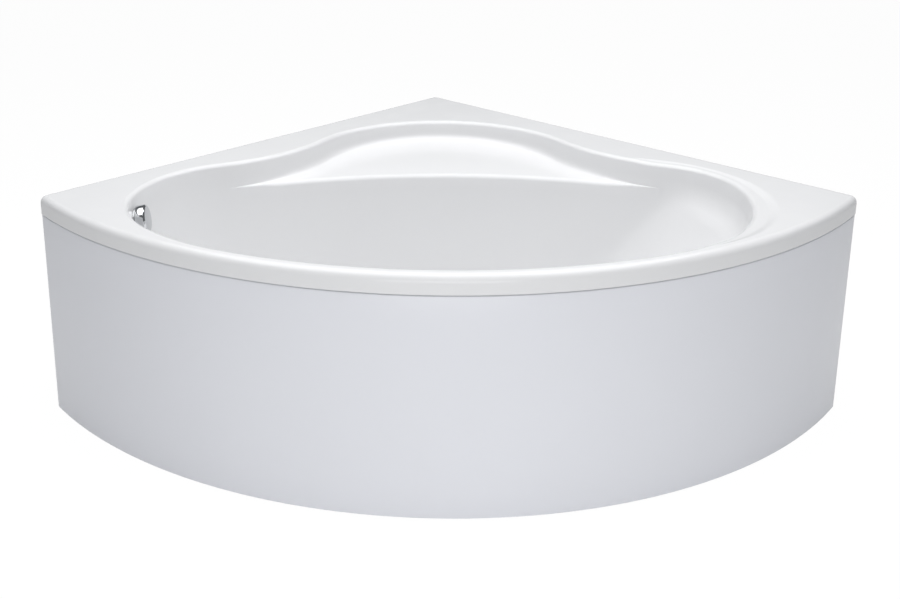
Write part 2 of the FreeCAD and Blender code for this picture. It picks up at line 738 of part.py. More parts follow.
def overflowBody():
    """cup behind the wall with a spigot down to the overflow pipe"""
    back = -sheet - gasketThickness
    outer, inner = plateDiameter / 2 - 2.0, overflowHole / 2 - 1.5
    cup = cylinder(plateDiameter / 2, bodyFlange, overflowAt(back - bodyFlange), overflowAxis)
    cup = cup.fuse(cylinder(outer, overflowBodyLength, overflowAt(back - overflowBodyLength), overflowAxis))
    spigot = spigotTop()
    cup = cup.fuse(cylinder(inletDiameter / 2, spigotDrop, spigot, Vector(0, 0, -1)))
    hollow = overflowBodyLength - cupBase
    cup = cup.cut(cylinder(inner, hollow, overflowAt(back - hollow), overflowAxis))
    return cup.cut(cylinder(inletDiameter / 2 - pipeWall, spigotDrop + 1.0, spigot, Vector(0, 0, -1)))


def spigotTop():
    return overflowAt(inletDiameter / 2 + spigotInset - sheet - gasketThickness - overflowBodyLength)


def spigotFoot():
    return spigotTop() - Vector(0, 0, spigotDrop)


def overflowPipe():
    top, inlet = spigotFoot(), wastePoint(inletHeight) - Vector(inletReach, 0, 0)
    return pipe([top, Vector(top.x, top.y, inlet.z), inlet], [hoseBend], inletDiameter / 2)[0]


def pipeNut(base, axis):
    return ring(inletDiameter / 2 + nutWall - 1.0, inletDiameter / 2, nutLength, base - axis * (nutLength / 2), axis)


def cable():
    """pull cable from the overflow's cup, down beside the pipe and into the waste body's side"""
    top = overflowAt(-sheet - gasketThickness - overflowBodyLength)
    side = wastePoint(cablePort) - Vector(0, wasteBore / 2 + 2 * pipeWall, 0)
    far, aside = top - overflowAxis * cableStand, side.y - cableAside
    points = [top, far, Vector(far.x, aside, cablePort + cableLowBend), Vector(far.x + cableLean, aside, cablePort),
              Vector(side.x, aside, cablePort), side]
    solid, length = pipe(points, cableBends, cableDiameter / 2)
    section = math.pi * (cableDiameter / 2)**2
    print("cable length", round(length), "volume against section and length", round(solid.Volume / section / length, 4))
    return solid


os.makedirs("parts", exist_ok=True)
export("tub_shell", tubShell())
export("base_board", baseBoard())
export("rim_batten_left", batten("left"))
export("rim_batten_right", batten("right"))
export("corner_block_left", cornerBlock(-1))
export("corner_block_right", cornerBlock(1))
for wall in ("left", "right"):
    export("wall_brackets_" + wall, *[wallBracket(wall, along) for along in wallBracketAt])
for name, solid in rails():
    export(name, solid)
for name, place in posts.items():
    export("post_" + name, post(*place))
export("post_pads", *[postPad(*place) for place in posts.values()])
ends = [(sign * (x + half), y, sign, 0) for x, y in ((frontPostX, frontRailY), (rearPostX, rearRailY)) for sign in (-1, 1)]
export("tube_end_caps", *[endCap(*end) for end in ends + [(0, spineTip, 0, -1), (0, backPostY + half, 0, 1)]])
export("board_screws", *boardScrews(0.0))
export("foot_nuts", *footNuts())
for name, place in feet.items():
    export("foot_" + name, levellingFoot(*place))
export("front_panel", frontPanel())
export("panel_stiffener_left", stiffener(-frontPostX, stiffenerWidth, stiffenerBack, stiffenerBottom, stiffenerTop))
export("panel_stiffener_right", stiffener(frontPostX, stiffenerWidth, stiffenerBack, stiffenerBottom, stiffenerTop))
export("panel_stiffener_centre", stiffener(0.0, 3 * stiffenerWidth, centreBack, stiffenerBottom, railTop + stiffenerRise))
export("strike_plates", *[strikePlate(*place) for place in magnets()])
export("panel_magnets", *[magnet(*place) for place in magnets()])
export("magnet_bracket", magnetBracket())
export("waste_flange", wasteFlange())
export("gaskets", wasteGasket(), overflowGasket())
export("waste_body", wasteBody())
export("trap", trap())
export("waste_plug", wastePlug())
export("overflow_plate", overflowPlate())
export("overflow_knob", overflowKnob())
export("overflow_body", overflowBody())
export("overflow_pipe", overflowPipe())
export("union_nuts", trapNut(), pipeNut(spigotFoot(), Vector(0, 0, 1)),
       pipeNut(wastePoint(inletHeight) - Vector(inletReach, 0, 0), Vector(1, 0, 0)))
export("pull_cable", cable())
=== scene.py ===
import json
import math

import bmesh
import bpy
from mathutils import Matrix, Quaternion, Vector

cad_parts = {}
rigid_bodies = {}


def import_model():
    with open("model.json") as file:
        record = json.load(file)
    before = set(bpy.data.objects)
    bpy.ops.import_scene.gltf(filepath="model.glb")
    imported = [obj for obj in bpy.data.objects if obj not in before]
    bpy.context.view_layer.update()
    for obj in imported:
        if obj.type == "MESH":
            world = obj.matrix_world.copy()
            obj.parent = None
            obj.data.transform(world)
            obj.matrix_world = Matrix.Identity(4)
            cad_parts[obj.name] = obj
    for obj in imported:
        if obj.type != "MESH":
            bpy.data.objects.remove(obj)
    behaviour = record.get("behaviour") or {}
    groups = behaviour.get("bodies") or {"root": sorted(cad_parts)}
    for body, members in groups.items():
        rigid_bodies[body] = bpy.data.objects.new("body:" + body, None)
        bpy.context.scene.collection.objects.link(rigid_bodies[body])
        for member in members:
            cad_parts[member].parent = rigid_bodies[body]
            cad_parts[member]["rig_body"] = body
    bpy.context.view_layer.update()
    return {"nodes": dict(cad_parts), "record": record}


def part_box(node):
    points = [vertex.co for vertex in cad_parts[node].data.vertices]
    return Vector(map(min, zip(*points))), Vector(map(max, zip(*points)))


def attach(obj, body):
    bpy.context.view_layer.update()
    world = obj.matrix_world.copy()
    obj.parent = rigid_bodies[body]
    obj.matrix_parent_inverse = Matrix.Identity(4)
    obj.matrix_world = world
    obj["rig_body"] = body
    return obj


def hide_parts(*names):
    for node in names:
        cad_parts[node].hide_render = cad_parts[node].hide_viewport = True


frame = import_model()
nodes = frame["nodes"]
print("frame loaded:", len(nodes), "nodes")


# small tools for modelling
weldGap, fineWeld = 0.00005, 0.00001  # points closer than this are merged, metres


def deselectAll():
    if bpy.context.object and bpy.context.object.mode != "OBJECT":
        bpy.ops.object.mode_set(mode="OBJECT")
    bpy.ops.object.select_all(action="DESELECT")


def makeActive(piece):
    deselectAll()
    piece.select_set(True)
    bpy.context.view_layer.objects.active = piece
    return piece


def newRing(name, points):
    # a circle with as many corners as the loop needs, laid on the loop's points
    deselectAll()
    bpy.ops.mesh.primitive_circle_add(vertices=len(points), radius=1.0)
    piece = bpy.context.object
    piece.name = name
    for vertex, point in zip(piece.data.vertices, points):
        vertex.co = point
    return piece


def growRings(piece, loops, pairs):
    # extrudes the selected rim of the mesh from loop to loop; pairs says which vertex lies where
    for points in loops:
        bpy.ops.mesh.extrude_edges_move()
        mesh = bmesh.from_edit_mesh(piece.data)
        mesh.verts.ensure_lookup_table()
        chosen = [v for v in mesh.verts if v.select]
        known = {}
        for v in chosen:
            for e in v.link_edges:
                other = e.other_vert(v)
                if not other.select and other.index in pairs:
                    known[v] = pairs[other.index]
        mesh.verts.index_update()
        pairs = {}
        for v, place in known.items():
            v.co = points[place]
            pairs[v.index] = place
        bmesh.update_edit_mesh(piece.data)
    return pairs


def sweepRings(name, loops, closed=True):
    # one surface through all loops, each with the same number of points
    piece = newRing(name, loops[0])
    makeActive(piece)
    bpy.ops.object.mode_set(mode="EDIT")
    bpy.ops.mesh.select_mode(type="EDGE")
    mesh = bmesh.from_edit_mesh(piece.data)
    mesh.verts.ensure_lookup_table()
    if not closed:
        last = len(loops[0]) - 1
        for e in [e for e in mesh.edges if {v.index for v in e.verts} == {0, last}]:
            mesh.edges.remove(e)
        bmesh.update_edit_mesh(piece.data)
    bpy.ops.mesh.select_all(action="SELECT")
    growRings(piece, loops[1:], {k: k for k in range(len(loops[0]))})
    return piece


def finishEdit(piece, weld=weldGap):
    bpy.ops.mesh.select_all(action="SELECT")
    bpy.ops.mesh.remove_doubles(threshold=weld)
    bpy.ops.mesh.normals_make_consistent(inside=False)
    bpy.ops.object.mode_set(mode="OBJECT")
    return piece


def applyModifier(piece, kind, **settings):
    makeActive(piece)
    made = piece.modifiers.new(kind.lower(), kind)
    for key, value in settings.items():
        setattr(made, key, value)
    bpy.ops.object.modifier_apply(modifier=made.name)
    return piece


def smooth(piece, degrees=35.0):
    makeActive(piece)
    bpy.ops.object.shade_smooth_by_angle(angle=math.radians(degrees))
    return piece


def turnUp(piece, sample, direction):
    # makes the face nearest the sample point look along the direction
    nearest = min(piece.data.polygons, key=lambda f: (f.center - Vector(sample)).length)
    if nearest.normal.dot(Vector(direction)) < 0:
        makeActive(piece)
        bpy.ops.object.mode_set(mode="EDIT")
        bpy.ops.mesh.select_all(action="SELECT")
        bpy.ops.mesh.flip_normals()
        bpy.ops.object.mode_set(mode="OBJECT")
    return piece


def settle(piece, body, slot, *stoodFor):
    makeActive(piece)
    bpy.ops.object.transform_apply(location=True, rotation=True, scale=True)
    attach(piece, body)
    if stoodFor:
        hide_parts(*stoodFor)
    return piece


# shader maths
class Wire:
    def __init__(self, finish, socket):
        self.finish, self.socket = finish, socket

    def maths(self, operation, first, second):
        return self.finish.node("ShaderNodeMath", {"operation": operation}, {0: first, 1: second})

    def __add__(self, other):
        return self.maths("ADD", self, other)

    def __mul__(self, other):
        return self.maths("MULTIPLY", self, other)

    def __gt__(self, other):
        return self.maths("GREATER_THAN", self, other)

    __radd__, __rmul__ = __add__, __mul__

    def spread(self, low, high, toLow=0.0, toHigh=1.0):
        span = {"Value": self, "From Min": low, "From Max": high, "To Min": toLow, "To Max": toHigh}
        return self.finish.node("ShaderNodeMapRange", {"clamp": True}, span)


class Finish:
    def __init__(self, name, **plain):
        self.material = bpy.data.materials.new(name)
        self.material.use_nodes = True
        self.tree = self.material.node_tree
        self.tree.nodes.clear()
        out = self.tree.nodes.new("ShaderNodeOutputMaterial")
        self.shader = self.tree.nodes.new("ShaderNodeBsdfPrincipled")
        self.tree.links.new(self.shader.outputs[0], out.inputs[0])
        self.place = self.node("ShaderNodeTexCoord", {}, {}, "Object")
        for key, value in plain.items():
            self.put(key, value)

    def node(self, kind, settings, inputs, output=0):
        made = self.tree.nodes.new(kind)
        for key, value in settings.items():
            setattr(made, key, value)
        for key, value in inputs.items():
            if isinstance(value, Wire):
                self.tree.links.new(value.socket, made.inputs[key])
            else:
                made.inputs[key].default_value = value
        return Wire(self, made.outputs[output])

    def put(self, name, value):
        socket = self.shader.inputs[name.replace("_", " ")]
        if isinstance(value, Wire):
            self.tree.links.new(value.socket, socket)
        else:
            socket.default_value = value

    def stretched(self, scale):
        return self.node("ShaderNodeMapping", {}, {"Vector": self.place, "Scale": scale})

    def noise(self, scale, detail=3.0, place=None):
        return self.node("ShaderNodeTexNoise", {},
                         {"Vector": place or self.place, "Scale": scale, "Detail": detail}, "Fac")

    def blend(self, share, first, second):
        colors = {"Factor": share, 6: first, 7: second}
        return self.node("ShaderNodeMix", {"data_type": "RGBA"}, colors, 2)

    def bump(self, height, strength, distance):
        raised = {"Height": height, "Strength": strength, "Distance": distance}
        self.put("Normal", self.node("ShaderNodeBump", {}, raised))


def grey(value, warm=0.0):
    return (value * (1 + warm), value, value * (1 - warm), 1.0)  # warm below nothing leans to blue


def cool(value, blue):
    return (value * (1 - blue), value * (1 - blue * 0.6), value * (1 + blue), 1.0)


# finishes
noiseSpan = (0.3, 0.7)  # most of a noise's values lie between these
acrylic = {"coat": 0.1, "coatRoughness": 0.05, "cloudScale": 2.2, "cloudShade": 0.985, "patchScale": 14.0,
           "smoothest": 0.8, "roughest": 1.25, "peelStrength": 0.04, "peelDepth": 0.0003}


def acrylicFinish(name, tone, blue, roughness, orangePeel):
    # pressed sanitary acrylic: a clear gloss over white, with a trace of orange peel and clouding
    made = Finish(name, Coat_Weight=acrylic["coat"], Coat_Roughness=acrylic["coatRoughness"], IOR=1.49,
                  Specular_IOR_Level=0.3)
    cloud = made.noise(acrylic["cloudScale"], 2.0).spread(*noiseSpan)
    made.put("Base Color", made.blend(cloud, cool(tone * acrylic["cloudShade"], blue), cool(tone, blue)))
    made.put("Roughness", made.noise(acrylic["patchScale"]).spread(
        *noiseSpan, roughness * acrylic["smoothest"], roughness * acrylic["roughest"]))
    made.bump(made.noise(orangePeel, 1.0), acrylic["peelStrength"], acrylic["peelDepth"])
    return made.material


def metalFinish(name, tone, roughness, tint=0.0, grain=300.0):
    made = Finish(name, Metallic=1.0)
    streak = made.noise(grain, 2.0, made.stretched((1.0, 1.0, 0.15)))
    made.put("Base Color", made.blend(streak, grey(tone * 0.94, tint), grey(tone, tint)))
    made.put("Roughness", streak.spread(*noiseSpan, roughness * 0.7, roughness * 1.4))
    made.bump(streak, 0.05, 0.0002)
    return made.material


def zincFinish():
    # passivated zinc with faint spangle
    made = Finish("zinc", Metallic=1.0)
    cells = made.node("ShaderNodeTexVoronoi", {}, {"Vector": made.place, "Scale": 260.0}, "Color")
    patch = made.noise(40.0)
    made.put("Base Color", made.blend(patch, (0.50, 0.52, 0.53, 1.0), (0.68, 0.69, 0.68, 1.0)))
    made.put("Roughness", patch.spread(*noiseSpan, 0.28, 0.45))
    made.bump(cells, 0.08, 0.0002)
    return made.material


def powderFinish():
    # grey powder coat with its fine pebbled skin
    made = Finish("powderCoat", IOR=1.5)
    made.put("Base Color", made.blend(made.noise(6.0), grey(0.36, -0.01), grey(0.42, -0.012)))
    made.put("Roughness", made.noise(60.0).spread(*noiseSpan, 0.42, 0.58))
    made.bump(made.noise(900.0, 2.0), 0.35, 0.0003)
    return made.material


def timberFinish(name, light, dark, along):
    # planed softwood: growth rings drawn out along the length, with pores between them
    made = Finish(name)
    scale = [30.0, 30.0, 30.0]
    scale[along] = 1.6
    place = made.stretched(scale)
    ring = made.noise(1.2, 4.0, place)
    band = made.node("ShaderNodeTexWave", {"wave_type": "RINGS"},
                     {"Vector": place, "Scale": 0.5, "Distortion": 3.0, "Detail": 2.0}, "Fac")
    pore = made.noise(9.0, 5.0, place)
    made.put("Base Color", made.blend(band * 0.6 + ring * 0.4, light, dark))
    made.put("Roughness", pore.spread(*noiseSpan, 0.55, 0.8))
    made.bump(band * 0.5 + pore, 0.25, 0.0006)
    return made.material


def boardFinish():
    # chipboard under a resin wash: flakes of several browns
    made = Finish("chipboard", Coat_Weight=0.2, Coat_Roughness=0.35)
    place = made.stretched((1.0, 1.6, 4.0))
    flake = made.node("ShaderNodeTexVoronoi", {}, {"Vector": place, "Scale": 130.0}, "Color")
    tone = made.node("ShaderNodeSeparateColor", {}, {"Color": flake}, 0)
    made.put("Base Color", made.blend(tone, (0.42, 0.30, 0.17, 1.0), (0.66, 0.53, 0.36, 1.0)))
    made.put("Roughness", made.noise(30.0).spread(*noiseSpan, 0.4, 0.65))
    made.bump(tone, 0.15, 0.0005)
    return made.material


def mouldedFinish(name, color, roughness, grain=500.0):
    # moulded plastic or rubber with a fine spark-eroded grain
    made = Finish(name, IOR=1.46)
    cloud = made.noise(18.0)
    darker = tuple(c * 0.88 for c in color[:3]) + (1.0,)
    made.put("Base Color", made.blend(cloud, darker, color))
    made.put("Roughness", cloud.spread(*noiseSpan, roughness * 0.85, roughness * 1.15))
    made.bump(made.noise(grain, 2.0), 0.2, 0.0002)
    return made.material


foot = {"padTop": 0.022, "threadWaves": 3590.0}  # metres above the floor, radians a metre


def footFinish():
    # black nylon pad below, zinc plated spindle above
    made = Finish("footNylonAndSteel")
    height = made.node("ShaderNodeSeparateXYZ", {}, {"Vector": made.place}, "Z")
    steel = height > foot["padTop"]
    thread = made.node("ShaderNodeMath", {"operation": "SINE"}, {0: height * foot["threadWaves"]})
    made.put("Metallic", steel)
    made.put("Base Color", made.blend(steel, (0.03, 0.03, 0.032, 1.0), (0.58, 0.59, 0.58, 1.0)))
    made.put("Roughness", made.blend(steel, grey(0.55), grey(0.34)))
    made.bump(thread * steel, 0.5, 0.0008)
    return made.material


finishes = {
    "acrylic": acrylicFinish("tubAcrylic", 0.80, 0.007, 0.2, 220.0),
    "panel_acrylic": acrylicFinish("panelAcrylic", 0.815, 0.032, 0.2, 160.0),
    "encapsulated_board": boardFinish(),
    "timber": timberFinish("softwood", (0.72, 0.55, 0.34, 1.0), (0.52, 0.35, 0.18, 1.0), 0),
    "frame_paint": powderFinish(),
    "zinc_steel": zincFinish(),
    "foot_plastic": footFinish(),
    "black_plastic": mouldedFinish("blackPlastic", (0.035, 0.035, 0.038, 1.0), 0.5),
    "rubber": mouldedFinish("rubber", (0.03, 0.03, 0.03, 1.0), 0.8, 900.0),
    "white_plastic": mouldedFinish("whitePolypropylene", (0.78, 0.79, 0.80, 1.0), 0.38),
    "chrome": metalFinish("polishedChrome", 0.66, 0.06, -0.02),
}


def paint(piece, slot):
    piece.data.materials.clear()
    piece.data.materials.append(finishes[slot])
    return piece


slotOf = {s["node"]: s["material_slot"] for s in frame["record"]["subparts"]}
for nodeName, node in nodes.items():
    paint(node, slotOf[nodeName])
print("finishes made:", len(finishes))

# the tub in metres and degrees, x to the right, y to the back, z up
tub = {
    # outside: the two walls, the bowed front and the rim
    "wallLength": 1.5, "frontRadius": 1.32, "cornerRadius": 0.022, "deck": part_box("tub_shell")[1].z,
    "rimDepth": 0.047, "rimRoll": 0.018, "rimRings": (0.010, 0.004), "rollFlat": 0.002, "sheet": 0.005,
    "deckPlace": (0.0, 0.6),  # on the deck, clear of the opening
    # the opening: basin edge and seat bay in arcs that touch
    "openRoll": 0.014, "openSet": -0.009, "brim": 0.035,
    "edgeRadius": 1.69, "edgeApex": 0.135, "tipAngle": 68.5, "flareRadius": 0.5, "seatRadius": 0.405,
    "shoulder": {"left": 0.317, "right": 0.258}, "end": {"left": 0.595, "right": 0.469},
    # walls, floor and seat
    "draft": 11.0, "floor": 0.175, "floorFillet": 0.09, "floorMiddle": (-0.05, -0.29), "filletReach": 0.11,
    "seatDrop": 0.065, "seatFall": 2.1, "seatNose": 0.016, "seatCove": 0.02, "seatRound": 0.3,
    "noseReach": 0.06, "footEndSlope": 0.05, "footEndFrom": (0.2, 0.5),
    # backrest at the right, and the ledge round it
    "backrestLean": 36.0, "backrestTop": 0.545, "backrestReach": 0.769, "backrestWide": 0.308,
    "backrestFront": 0.42, "backrestMiddle": -0.25, "backrestSoft": 0.012, "backrestEase": 0.08,
    "backrestBlend": 0.1,
    "ledgeDrop": 0.006, "ledgeRadius": 0.355, "ledgeCentre": (0.478, -0.279), "ledgeFade": 0.035,
    "ledgeRun": 0.028, "ledgeShare": 0.8, "ledgeRings": (0.003, 0.002, 0.001),
}
# points along each arc and down each part of the section
steps = {"flare": 24, "seat": 52, "shoulder": 26, "end": 22, "front": 56, "corner": 14, "bow": 96,
         "side": 30, "roll": 10, "ledge": 8, "brim": 7, "cove": 5, "wall": 12, "fillet": 8}
seatRows, floorRows = (0.42, 0.5, 0.58), (0.3, 0.65, 1.0)  # shares of the way over the seat and the floor

halfWidth = tub["wallLength"] / math.sqrt(2)
frontDepth = tub["frontRadius"] + halfWidth - math.sqrt(tub["frontRadius"] ** 2 - halfWidth ** 2)
backY = (frontDepth + tub["cornerRadius"] * (math.sqrt(2) - 1)) / 2
frontCentre = Vector((0, backY - frontDepth + tub["frontRadius"]))
frontInner = tub["frontRadius"] - tub["brim"]
tip = math.radians(tub["tipAngle"])
tipOut = Vector((math.cos(tip), math.sin(tip)))
tipPoint = Vector((tub["edgeRadius"] * tipOut.x, tub["edgeApex"] - tub["edgeRadius"] * (1 - tipOut.y)))
flareCentre = tipPoint + tipOut * tub["flareRadius"]
seatBack = math.sqrt((tub["seatRadius"] + tub["flareRadius"]) ** 2 - flareCentre.x ** 2)
seatCentre = Vector((0, flareCentre.y - seatBack))
edgeCentre = Vector((0, tub["edgeApex"] - tub["edgeRadius"]))
draft = math.radians(tub["draft"])


def innerCrossing(c1, r1, c2, r2, side):
    span = (c2 - c1).length
    along = (r1 ** 2 - r2 ** 2 + span ** 2) / (2 * span)
    off = math.sqrt(r1 ** 2 - along ** 2)
    u = (c2 - c1) / span
    found = [c1 + u * along + Vector((-u.y, u.x)) * s * off for s in (-1, 1)]
    return min(found, key=lambda p: p.x * side)


def arc(centre, radius, start, end, count, outward=1):
    # points and inward normals on the short way round, without the last point
    a = math.atan2(start.y - centre.y, start.x - centre.x)
    b = math.atan2(end.y - centre.y, end.x - centre.x)
    turn = (b - a + math.pi) % (2 * math.pi) - math.pi
    made = []
    for k in range(count):
        d = Vector((math.cos(a + turn * k / count), math.sin(a + turn * k / count)))
        made.append((centre + d * radius, -d * outward))
    return made


def mirrored(v):
    return Vector((-v.x, v.y))


def openingLoops():
    # base points with inward normals, from the right tip round the back, anticlockwise
    leftTip, leftFlare = mirrored(tipPoint), mirrored(flareCentre)
    turnRight = seatCentre + (flareCentre - seatCentre).normalized() * tub["seatRadius"]
    turnLeft = mirrored(turnRight)
    bay = arc(flareCentre, tub["flareRadius"], tipPoint, turnRight, steps["flare"], -1)
    bay += arc(seatCentre, tub["seatRadius"], turnRight, turnLeft, steps["seat"])
    bay += arc(leftFlare, tub["flareRadius"], turnLeft, leftTip, steps["flare"], -1)
    edge = arc(edgeCentre, tub["edgeRadius"], tipPoint, leftTip, len(bay))
    rest, ends = [], {}
    for side, sign in (("left", -1), ("right", 1)):
        rs, re = tub["shoulder"][side], tub["end"][side]
        tipHere = Vector((sign * tipPoint.x, tipPoint.y))
        outHere = Vector((sign * tipOut.x, tipOut.y))
        shoulder = tipHere - outHere * rs
        end = innerCrossing(frontCentre, frontInner - re, shoulder, re - rs, sign)
        middle = end + (shoulder - end).normalized() * re
        low = frontCentre + (end - frontCentre).normalized() * frontInner
        ends[side] = (tipHere, shoulder, rs, middle, end, re, low)
    tipHere, shoulder, rs, middle, end, re, low = ends["left"]
    rest += arc(shoulder, rs, tipHere, middle, steps["shoulder"])
    rest += arc(end, re, middle, low, steps["end"])
    rest += arc(frontCentre, frontInner, low, ends["right"][-1], steps["front"])
    tipHere, shoulder, rs, middle, end, re, low = ends["right"]
    rest += arc(end, re, low, middle, steps["end"])
    rest += arc(shoulder, rs, middle, tipHere, steps["shoulder"])
    return bay + rest, edge + rest, {side: found[1] for side, found in ends.items()}


bayLoop, basinLoop, shoulderOf = openingLoops()
wallStart = tub["openSet"] + tub["openRoll"] * math.cos(draft)
wallStartZ = tub["deck"] - tub["openRoll"] * (1 - math.sin(draft))


def wallInset(z):
    return wallStart + (wallStartZ - z) * math.tan(draft)


def seatZ(y):
    return tub["deck"] - tub["seatDrop"] + math.tan(math.radians(tub["seatFall"])) * (y - tub["edgeApex"])


def softStep(x, low, high):
    t = min(max((x - low) / (high - low), 0.0), 1.0)
    return t * t * (3 - 2 * t)


def onBackrest(p, z):
    # pulls a wall point in to the backrest's slope where that lies further in, with a soft crease
    if z >= tub["backrestTop"]:
        return p
    reach = tub["backrestReach"] - (tub["backrestTop"] - z) * math.tan(math.radians(tub["backrestLean"]))
    centre = Vector((reach - tub["backrestWide"], tub["backrestMiddle"]))
    q = p - centre
    across = tub["backrestWide"] if q.y > 0 else tub["backrestFront"]
    size = math.hypot(q.x / tub["backrestWide"], q.y / across)
    soft = tub["backrestSoft"] * softStep(tub["backrestTop"] - z, 0.0, tub["backrestEase"]) + 0.0001
    h = min(max(0.5 + 0.5 * (1.0 - size) / soft, 0.0), 1.0)
    inner = size * h + 1.0 * (1 - h) - soft * h * (1 - h)
    share = softStep(q.x, 0.0, tub["backrestBlend"])
    return p + (centre + q * (inner / size) - p) * share


def wallPoint(k, z):
    p, n = basinLoop[k]
    here = p + n * wallInset(z)
    depth = max(tub["deck"] - tub["seatDrop"] - z, 0.0)
    here.x += tub["footEndSlope"] * depth * softStep(-here.x, *tub["footEndFrom"])
    here = onBackrest(here, z)
    return Vector((here.x, here.y, z))


def rounded(before, corner, after, radius, count, tiny=0.00001, straight=math.pi - 0.02):
    # arc of count + 1 points that rounds a corner; where there is none, as many points on the spot
    a, b = before - corner, after - corner
    if min(a.length, b.length, radius) < tiny or a.angle(b) > straight:
        return [corner.copy() for k in range(count + 1)]
    a.normalize()
    b.normalize()
    opening = a.angle(b)
    back = radius / math.tan(opening / 2)
    start, end = corner + a * back, corner + b * back
    centre = corner + (a + b).normalized() * (radius / math.sin(opening / 2))
    u, v = start - centre, end - centre
    turn = u.angle(v)
    made = []
    for k in range(count + 1):
        t = k / count
        made.append(centre + (u * math.sin((1 - t) * turn) + v * math.sin(t * turn)) / math.sin(turn))
    return made


def ledgeWidth(k):
    # how far the ledge's circle lies outside the opening here
    p, n = bayLoop[k]
    start = p + n * tub["openSet"]
    toCentre = start - Vector(tub["ledgeCentre"])
    b = toCentre.dot(-n)
    c = toCentre.length_squared - tub["ledgeRadius"] ** 2
    if c >= 0:
        return 0.0
    return -b + math.sqrt(b * b - c)


def section(k):
    # one line down the tub's inside, from the deck to the floor, with as many points at every place
    deck, floor = tub["deck"], tub["floor"]
    p, n = bayLoop[k]
    n3 = Vector((n.x, n.y, 0))

    def at(inset, z):
        return Vector((p.x, p.y, z)) + n3 * inset

    wide = ledgeWidth(k)
    drop = tub["ledgeDrop"] * softStep(wide, 0.0, tub["ledgeFade"])
    outer = tub["openSet"] - wide
    far, near, start = tub["ledgeRings"]
    line = [at(outer - far, deck), at(outer - near, deck)]
    run = min(tub["ledgeRun"] * drop / tub["ledgeDrop"], wide * tub["ledgeShare"])
    for t in [j / steps["ledge"] for j in range(steps["ledge"] + 1)]:
        line.append(at(outer - start + (start + run) * t, deck - drop * softStep(t, 0.0, 1.0)))
    rim = deck - drop
    brim = at(wallInset(rim), rim)
    back = k < steps["flare"] * 2 + steps["seat"]
    base = seatZ(p.y)
    for again in range(3):  # the wall leans, so the foot's height and place are found in turns
        base = seatZ(at(wallInset(base), 0).y)
    bayFoot = at(wallInset(base), base)
    nose = bayFoot
    if back:
        q, m = basinLoop[k]
        front = q + m * wallInset(seatZ(q.y))
        nose = Vector((front.x, front.y, seatZ(front.y)))
    lip = at(min(outer + run, tub["openSet"]), rim)
    line += rounded(lip, brim, bayFoot, tub["openRoll"], steps["brim"])
    line.append(line[-1] * 0.5 + bayFoot * 0.5)
    largest = (nose - bayFoot).length * tub["seatRound"]
    below = wallPoint(k, nose.z - tub["noseReach"])
    line += rounded(brim, bayFoot, nose, min(tub["seatCove"], largest), steps["cove"])
    line += [bayFoot.lerp(nose, t) for t in seatRows]
    line += rounded(bayFoot, nose, below, min(tub["seatNose"], largest), steps["cove"])
    # wall down to the floor's fillet, which rounds the corner between the two
    lower, inwards = wallPoint(k, floor), Vector((*tub["floorMiddle"], floor))
    above = wallPoint(k, floor + tub["filletReach"])
    fillet = rounded(above, lower, lower.lerp(inwards, 0.5), tub["floorFillet"], steps["fillet"])
    startZ, endZ = line[-1].z, fillet[0].z
    line += [wallPoint(k, startZ + (endZ - startZ) * j / steps["wall"]) for j in range(1, steps["wall"])]
    line += fillet
    line += [fillet[-1].lerp(inwards, t) for t in floorRows]
    return line


# the rim's outline: three rounded corners, two straight walls, the bowed front
corner = tub["cornerRadius"]
cornerBack = Vector((0, backY - corner * math.sqrt(2)))
cornerSpan = cornerBack.y - frontCentre.y
cornerX = (cornerSpan + math.sqrt(2 * (tub["frontRadius"] - corner) ** 2 - cornerSpan ** 2)) / 2
cornerRight = Vector((cornerX, cornerBack.y - cornerX))
cornerLeft = mirrored(cornerRight)
wallRight, wallLeft = Vector((1, 1)).normalized(), Vector((-1, 1)).normalized()
frontRight = (cornerRight - frontCentre).normalized()


def cornerArc(centre, radius, start, end):
    found = arc(centre, radius, centre + start, centre + end, steps["corner"])
    return [p for p, n in found] + [centre + end * radius]


def frontArc(inset):
    start = cornerLeft + mirrored(frontRight) * (corner - inset)
    end = cornerRight + frontRight * (corner - inset)
    return [p for p, n in arc(frontCentre, tub["frontRadius"] - inset, start, end, steps["bow"])][1:]


def rimLoop(inset):
    small = corner - inset
    right = cornerArc(cornerRight, small, frontRight, wallRight)
    back = cornerArc(cornerBack, small, wallRight, wallLeft)
    left = cornerArc(cornerLeft, small, wallLeft, mirrored(frontRight))
    alongRight = [right[-1].lerp(back[0], t / steps["side"]) for t in range(1, steps["side"])]
    alongLeft = [back[-1].lerp(left[0], t / steps["side"]) for t in range(1, steps["side"])]
    return right + alongRight + back + alongLeft + left + frontArc(inset)


def rimLoops():
    # from the rim's foot up its face and over the roll, on to the deck
    foot, top, roll = tub["deck"] - tub["rimDepth"], tub["deck"], tub["rimRoll"]
    low, high = tub["rimRings"]
    levels = [(0.0, foot), (0.0, foot + low), (0.0, top - roll - high)]
    for k in range(steps["roll"] + 1):
        a = math.pi / 2 * k / steps["roll"]
        levels.append((roll - roll * math.cos(a), top - roll + roll * math.sin(a)))
    levels.append((roll + tub["rollFlat"], top))
    return [[Vector((q.x, q.y, z)) for q in rimLoop(inset)] for inset, z in levels]


# openings for the waste and the overflow: radii, height above the floor, reach of the cut
openings = {"waste": 0.026, "overflow": 0.027, "overflowHeight": 0.543, "cutDepth": 0.03, "corners": 64}
wasteMiddle = sum(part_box("waste_flange"), Vector()) / 2
wastePoint = Vector((wasteMiddle.x, wasteMiddle.y, tub["floor"]))
overflowHeight, overflowSide = openings["overflowHeight"], shoulderOf["left"]
